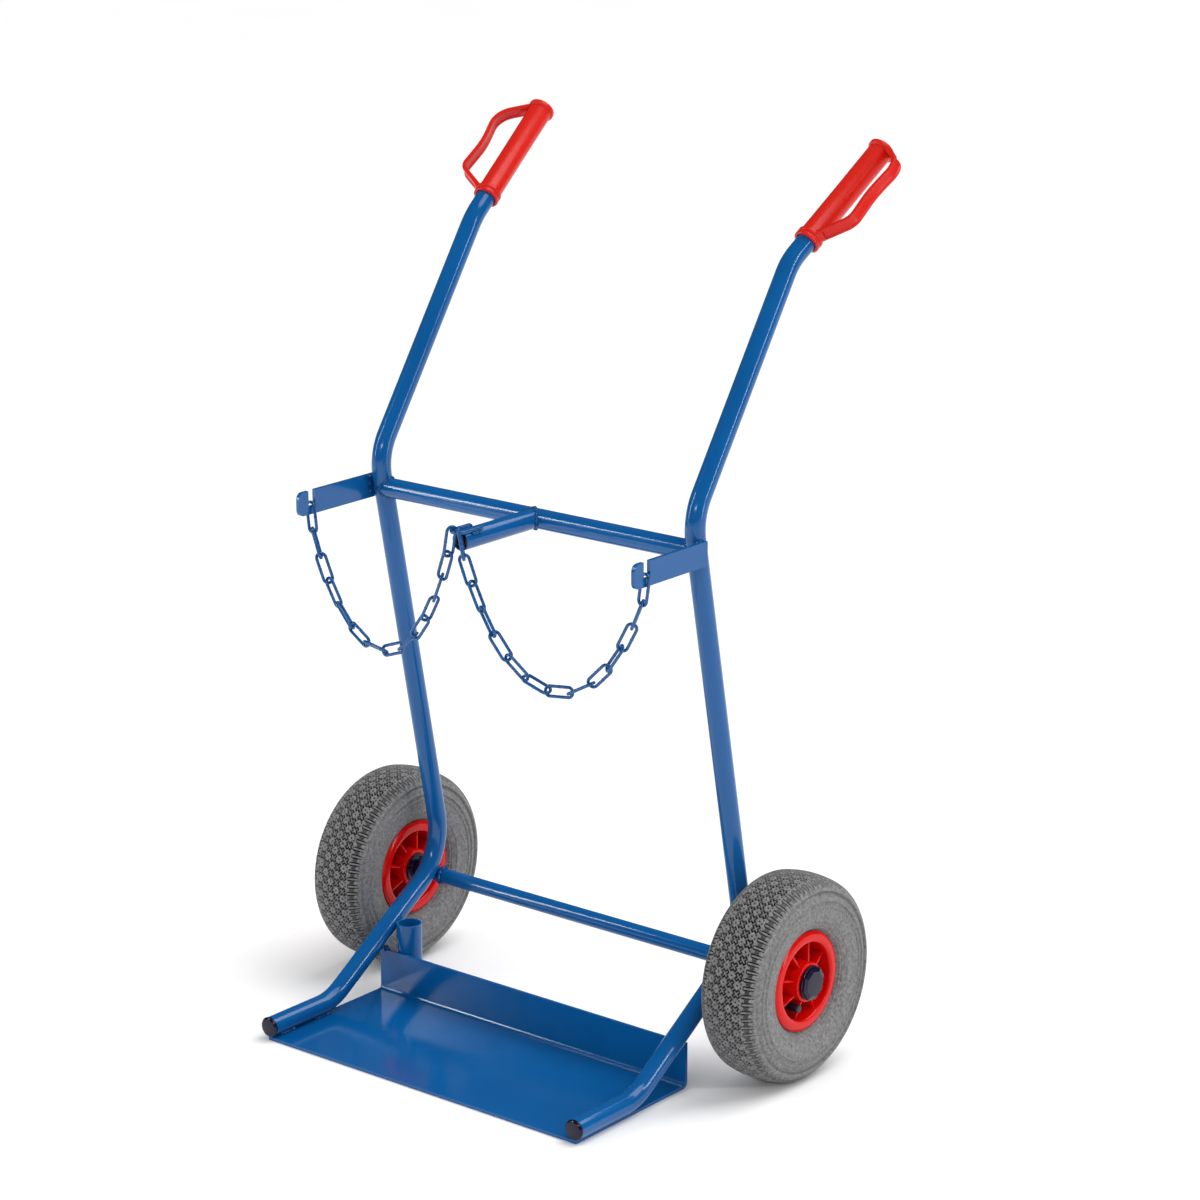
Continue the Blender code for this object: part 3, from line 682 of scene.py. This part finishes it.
PITCHES = 39                       # pinned blocks round the tyre in each column
STEPS = 24                         # grid steps per pitch; the columns stand half of that apart
STEP_ACROSS = 0.000808
CELLS = 4                          # cells of a pitch, along the diagonals of the grid
CELL = STEPS // CELLS              # grid steps of a cell, which is as wide as a cross's arm
CROSS_CELLS = ((2, 2), (1, 2), (3, 2), (2, 1), (2, 3))
BLOCK_REACH = 30                   # steps from the middle to the last row of blocks
LUG_REACH = 27                     # steps that the shoulder's lugs reach beyond it
GROOVE_DEPTH = 0.0036
LUG_DEPTH = 0.0034
PIN_DEPTH = 0.0030
GROOVE_SHADE = 2.4                 # how soon the painted groove shade turns the rubber dark with a groove's depth
SKIRT_INWARD = 0.005               # the tread skin's edges turn down into the wall by this much
SKIRT_DROP = 0.002
CROWN_RADIUS = 0.115
CROWN_REACH = 0.026                # middle of the tread to where the shoulder's curve starts
SHOULDER_RADIUS = 0.0205
RIB_SIZE = (0.0500, 0.0290, 0.0028)
RIB_MIDDLE = 0.0365                # axle to the middle of a rib
RIB_FLARE = 1.22                   # a rib is this much wider at the hub
RIB_EDGE = 0.0008
VALVE_SEAT = 0.010                 # tyre's middle plane to where the valve leaves the barrel


def wheel_place(sign):
    """Middle of the wheel on one side."""
    return sign * WHEEL_X, AXLE.y, AXLE.z


def tyre_section(across):
    """(x, radius, outward x, outward radius) of the tread's surface, across in metres from its middle."""
    sign = 1 if across >= 0 else -1
    run = abs(across)
    start = CROWN_REACH / CROWN_RADIUS
    if run < CROWN_REACH:
        turn = run / CROWN_RADIUS
        bend = CROWN_RADIUS
        base_x = 0.0
        base_r = TYRE_RADIUS - CROWN_RADIUS
    else:
        turn = start + (run - CROWN_REACH) / SHOULDER_RADIUS
        bend = SHOULDER_RADIUS
        base_x = (CROWN_RADIUS - SHOULDER_RADIUS) * math.sin(start)
        base_r = TYRE_RADIUS - CROWN_RADIUS + (CROWN_RADIUS - SHOULDER_RADIUS) * math.cos(start)
    x = base_x + bend * math.sin(turn)
    r = base_r + bend * math.cos(turn)
    return sign * x, r, sign * math.sin(turn), math.cos(turn)


def in_cross(u, v):
    """True inside a cross between the pinned blocks; u and v run along the grid's diagonals."""
    return ((u + CELL / 2) // CELL % CELLS, (v + CELL / 2) // CELL % CELLS) in CROSS_CELLS


def on_outline(u, v, reach):
    """True where a cross's outline passes within reach."""
    return len({in_cross(u + a, v + b) for a in (-reach, reach) for b in (-reach, reach)}) == 2


def block_depth(i, j):
    """How far a grid point of the middle rows lies below the blocks' tops."""
    u, v = i + j, i - j
    if on_outline(u, v, 0.5):
        return GROOVE_DEPTH
    from_pin = max(abs((w + 2) % STEPS - 2) for w in (u, v))
    if from_pin <= 1:
        return PIN_DEPTH * (1.0 - 0.4 * from_pin)
    return GROOVE_DEPTH * 0.95 if on_outline(u, v, 1.5) else 0.0


def lug_depth(i, row):
    """Long lugs outlined like a U, open towards the wall, with short cuts between them."""
    half = STEPS // 2
    start = 2 if (i // half) % 2 else 4
    k = i % half
    # The two legs of the U and its bend
    if k in (0, 4) and start <= row < 22 or row == start and k < 4:
        return LUG_DEPTH
    # The shallow sides of its legs
    if k == half - 1 and start + 2 <= row < 19 or k == 5 and start + 2 <= row < 16:
        return LUG_DEPTH * 0.7
    # The short cuts
    if k in (7, 9) and 8 <= row < 15:
        return LUG_DEPTH * 0.9
    return 0.0


def tread_mesh():
    """Tread skin on a fine grid, lowered in its grooves, with a skirt along each edge."""
    reach = BLOCK_REACH + LUG_REACH
    work = bmesh.new()
    # per-point painted shade for the grooves, read by the tyre material
    painted_groove_shade = work.verts.layers.float.new("painted_groove_shade")
    grid = []
    for i in range(PITCHES * STEPS):
        turn = math.tau * i / (PITCHES * STEPS)
        line = []
        for j in range(-reach - 1, reach + 2):
            kept = max(-reach, min(reach, j))
            x, r, out_x, out_r = tyre_section(kept * STEP_ACROSS)
            depth = block_depth(i, j) if abs(j) <= BLOCK_REACH else lug_depth(i, abs(j) - BLOCK_REACH)
            x -= depth * out_x
            r -= depth * out_r
            if kept != j:
                x -= math.copysign(SKIRT_INWARD, x)
                r -= SKIRT_DROP
            vert = work.verts.new((x, r * math.cos(turn), r * math.sin(turn)))
            # painted shade: the deeper the point lies in a groove, the darker its rubber
            vert[painted_groove_shade] = min(1.0, GROOVE_SHADE * depth / GROOVE_DEPTH)
            line.append(vert)
        grid.append(line)
    for first, second in zip(grid, grid[1:] + grid[:1]):
        for k in range(len(first) - 1):
            work.faces.new((first[k], first[k + 1], second[k + 1], second[k]))
    bmesh.ops.recalc_face_normals(work, faces=work.faces)
    mesh = bpy.data.meshes.new("tread")
    work.to_mesh(mesh)
    work.free()
    mesh.shade_smooth()
    return mesh


def sidewall_profile():
    """Carcass from bead to shoulder, with two moulded rings on the wall."""
    outer = [(0.0185, 0.0538), (0.0240, 0.0538), (0.0284, 0.0644), (0.0318, 0.0668), (0.0336, 0.0672)]
    outer += [(0.0342, 0.0690), (0.0356, 0.0696), (0.0384, 0.0752), (0.0392, 0.0756), (0.0398, 0.0776)]
    outer += [(0.0394, 0.0784), (0.0412, 0.0850), (0.0418, 0.0900), (0.0418, 0.0946), (0.0430, 0.0953)]
    outer += [(0.0430, 0.0965), (0.0416, 0.0973), (0.0412, 0.1012), (0.0427, 0.1020), (0.0428, 0.1036)]
    outer += [(0.0408, 0.1048), (0.0400, 0.1080)]
    outer += [(0.0365, 0.1150), (0.0300, 0.1190), (0.0150, 0.1245)]
    inner = [(0.0190, 0.0600), (0.0320, 0.0770), (0.0350, 0.0920), (0.0260, 0.1130)]
    outside = outer + [(0.0, 0.1255)] + mirrored(outer, -1)[::-1]
    inside = inner + [(0.0, 0.1200)] + mirrored(inner, -1)[::-1]
    return outside + inside[::-1]


def tyre(name, sign, tread):
    """Wall with a closed section, and the tread skin over it."""
    body = name + "_wheel"
    place = wheel_place(sign)
    wall = turned(sidewall_profile(), 144, 0.0005, closed=True)
    piece(name + "_tyre_wall", wall, TYRE_GREY, body, [name + "_tyre"], place)
    piece(name + "_tyre_tread", tread, TYRE_GREY, body, (), place)


def rib_meshes():
    """Eight thin ribs through the web, from hub to barrel, with softened edges."""
    made = []
    for index in range(RIB_COUNT):
        work = bmesh.new()
        bmesh.ops.create_cube(work, size=1.0)
        bmesh.ops.scale(work, vec=RIB_SIZE, verts=work.verts)
        bmesh.ops.translate(work, vec=(0, RIB_MIDDLE, 0), verts=work.verts)
        for vert in work.verts:
            if vert.co.y < RIB_MIDDLE:
                vert.co.x *= RIB_FLARE
        bmesh.ops.bevel(work, geom=work.edges[:], offset=RIB_EDGE, segments=3, affect="EDGES", profile=0.5)
        turn = Matrix.Rotation(RIB_START + math.tau * index / RIB_COUNT, 3, "X")
        bmesh.ops.rotate(work, cent=(0, 0, 0), matrix=turn, verts=work.verts)
        made.append(mesh_from(work))
    return made


def rim(name, sign):
    """One-piece rim: hub, web, ribs, barrel and crowned lips."""
    recess = [(0.0025, 0.0262), (0.0025, 0.0470), (0.0300, 0.0488), (0.0326, 0.0500), (0.0330, 0.0535)]
    recess += [(0.0326, 0.0590), (0.0306, 0.0630), (0.0292, 0.0636)]
    seat = [(0.0286, 0.0630), (0.0262, 0.0548), (0.0240, 0.0530)]
    outer = recess + seat
    inner = mirrored(outer, -1)[::-1]
    profile = [(0.0362, 0.0148), (0.0362, 0.0248)] + outer + inner + [(-0.0343, 0.0248), (-0.0343, 0.0148)]
    shell = turned(mirrored(profile, sign), 96, 0.0016, closed=True)
    mesh = joined([shell] + rib_meshes())
    body = name + "_wheel"
    place = wheel_place(sign)
    piece(name + "_rim_moulding", mesh, RIM_RED, body, [name + "_rim"], place)


def valve(name, sign):
    """Bent rubber stem with a ribbed cap at its outer end."""
    out = Vector((0, math.cos(VALVE_ANGLE), math.sin(VALVE_ANGLE)))
    along = Vector((sign, 0, 0))
    seat = along * VALVE_SEAT
    centre = out * VALVE_REACH
    path = rounded([seat + out * 0.059, seat + centre, centre + along * 0.0280], 0.009)
    stem = sweep(path, circle(0.0043, 24))
    cap_profile = [(0.0210, 0), (0.0210, 0.0048), (0.0350, 0.0051), (0.0368, 0.0042), (0.0368, 0)]
    cap = turned(cap_profile, 32, 0.0006)
    cap.transform(Matrix.Translation(centre) @ Matrix.Scale(sign, 4, (1, 0, 0)))
    ribs = []
    count = 16
    for k in range(count):
        turn = math.tau * k / count
        offset = Vector((0, math.cos(turn), math.sin(turn))) * 0.0049 + centre
        ribs.append(sweep([along * 0.0225 + offset, along * 0.0340 + offset], circle(0.0004, 6)))
    mesh = joined([stem, cap] + ribs)
    body = name + "_wheel"
    piece(name + "_valve_stem", mesh, BLACK, body, [name + "_valve"], wheel_place(sign))


def inner_ring(name, sign):
    """Stepped ring over the hub's inner end."""
    profile = [(-0.0346, AXLE_HOLE), (-0.0346, 0.0205), (-0.0374, 0.0205), (-0.0378, 0.0165)]
    profile += [(-0.0398, 0.0160), (-0.0405, 0.0150), (-0.0405, AXLE_HOLE)]
    mesh = turned(mirrored(profile, sign), 72, 0.0006, closed=True)
    body = name + "_wheel"
    place = wheel_place(sign)
    piece(name + "_inner_ring_cover", mesh, NAVY, body, [name + "_inner_ring"], place)


def hidden_parts(name):
    """Parts that stay as the CAD made them: they sit inside the tyre and the hub."""
    for part, look in (("_inner_tube", BLACK), ("_bearing_bush", STEEL)):
        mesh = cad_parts[name + part].data
        mesh.materials.clear()
        mesh.materials.append(look)


# Stage

SOFT_LIGHT = 0.62                  # strength of the surroundings as diffuse light
DARK_ROOM = 0.05                   # and as seen in reflections
OVERHEAD = (-0.35, -0.45, -1.0)
OVERHEAD_STRENGTH = 2.05
OVERHEAD_SPREAD = 50
LAMPS = (                          # name, place, aim, (width, height), watts
    ("key", (-2.6, -2.6, 1.9), (0, 0, 0.45), (0.25, 2.6), 40),
    ("front", (1.4, -4.2, 2.4), (0, 0, 0.45), (1.8, 0.35), 26),
    ("side", (3.4, 0.6, 1.5), (0, 0, 0.5), (0.25, 2.4), 26),
)
FLOOR_HALF = 12.0
FLOOR_Z = -0.0005
CAMERA_LENS = 108.50
CAMERA_PLACE = (2.7309, AXLE.y - 3.3413, 1.7859)
CAMERA_TURN = (math.radians(74.006), 0.0, math.radians(38.977))


def studio_world():
    """White surroundings behind the object, with little for glossy surfaces to mirror."""
    world = bpy.data.worlds.new("studio")
    world.use_nodes = True
    tree = world.node_tree
    ray = tree.nodes.new("ShaderNodeLightPath")
    shade = tree.nodes.new("ShaderNodeMix")
    shade.inputs["A"].default_value = SOFT_LIGHT
    shade.inputs["B"].default_value = DARK_ROOM
    tree.links.new(ray.outputs["Is Glossy Ray"], shade.inputs["Factor"])
    white = tree.nodes.new("ShaderNodeMix")
    white.inputs["B"].default_value = 1.0
    tree.links.new(ray.outputs["Is Camera Ray"], white.inputs["Factor"])
    tree.links.new(shade.outputs["Result"], white.inputs["A"])
    background = tree.nodes["Background"]
    background.inputs["Color"].default_value = (1.0, 1.0, 1.0, 1.0)
    tree.links.new(white.outputs["Result"], background.inputs["Strength"])
    return world


def area_light(name, place, aim, size, power):
    """Rectangular lamp at place, turned towards aim; size is (width, height)."""
    light = bpy.data.lights.new(name, "AREA")
    light.shape = "RECTANGLE"
    light.size, light.size_y = size
    light.energy = power
    lamp = bpy.data.objects.new(name, light)
    lamp.location = place
    lamp.rotation_euler = (Vector(aim) - Vector(place)).to_track_quat("-Z", "Y").to_euler()
    bpy.context.scene.collection.objects.link(lamp)


def sky_light(name, direction, strength, spread_degrees):
    """Even light from above, with shadows as soft as its spread."""
    light = bpy.data.lights.new(name, "SUN")
    light.energy = strength
    light.angle = math.radians(spread_degrees)
    lamp = bpy.data.objects.new(name, light)
    lamp.rotation_euler = Vector(direction).to_track_quat("-Z", "Y").to_euler()
    bpy.context.scene.collection.objects.link(lamp)


def stage():
    """Pale floor, white surroundings, soft light from above and three lamps."""
    work = bmesh.new()
    bmesh.ops.create_grid(work, x_segments=1, y_segments=1, size=FLOOR_HALF)
    floor_mesh = bpy.data.meshes.new("floor")
    work.to_mesh(floor_mesh)
    work.free()
    look, tree, shader = start_material("pale floor", (0.90, 0.90, 0.90), 0.7)
    tone = two_colours(tree, noise(tree, 2.0), (0.89, 0.89, 0.89), (0.92, 0.92, 0.92))
    tree.links.new(tone, shader.inputs["Base Color"])
    floor_mesh.materials.append(look)
    floor = bpy.data.objects.new("floor", floor_mesh)
    floor.location.z = FLOOR_Z
    bpy.context.scene.collection.objects.link(floor)
    bpy.context.scene.world = studio_world()
    sky_light("overhead", OVERHEAD, OVERHEAD_STRENGTH, OVERHEAD_SPREAD)
    for lamp in LAMPS:
        area_light(*lamp)


def camera():
    """Camera at the angle of the reference view, without roll or lens shift."""
    data = bpy.data.cameras.new("camera")
    data.sensor_width = 36.0
    data.lens = CAMERA_LENS
    data.clip_end = 50.0
    made = bpy.data.objects.new("camera", data)
    made.location = CAMERA_PLACE
    made.rotation_euler = CAMERA_TURN
    bpy.context.scene.collection.objects.link(made)
    bpy.context.scene.camera = made


def build():
    """Make every piece, then the stage and the camera."""
    for name, sign in SIDES:
        side_tube(name, sign)
        foot_plug(name, sign)
        axle_collar(name)
        hub_cap(name, sign)
        grip(name, sign)
    upper_cross_tube()
    centre_arm()
    chain_eye()
    for node in ("toe_plate", "left_chain_bracket", "right_chain_bracket"):
        kept_plate(node)
    rod_socket()
    axle()
    plate_welds()
    bracket_welds()
    shape = link_mesh()
    tread = tread_mesh()
    for name, sign in SIDES:
        chain(name, shape)
        tyre(name, sign, tread)
        rim(name, sign)
        valve(name, sign)
        inner_ring(name, sign)
        hidden_parts(name)
    stage()
    camera()


build()
bpy.context.scene.view_settings.view_transform = "Standard"
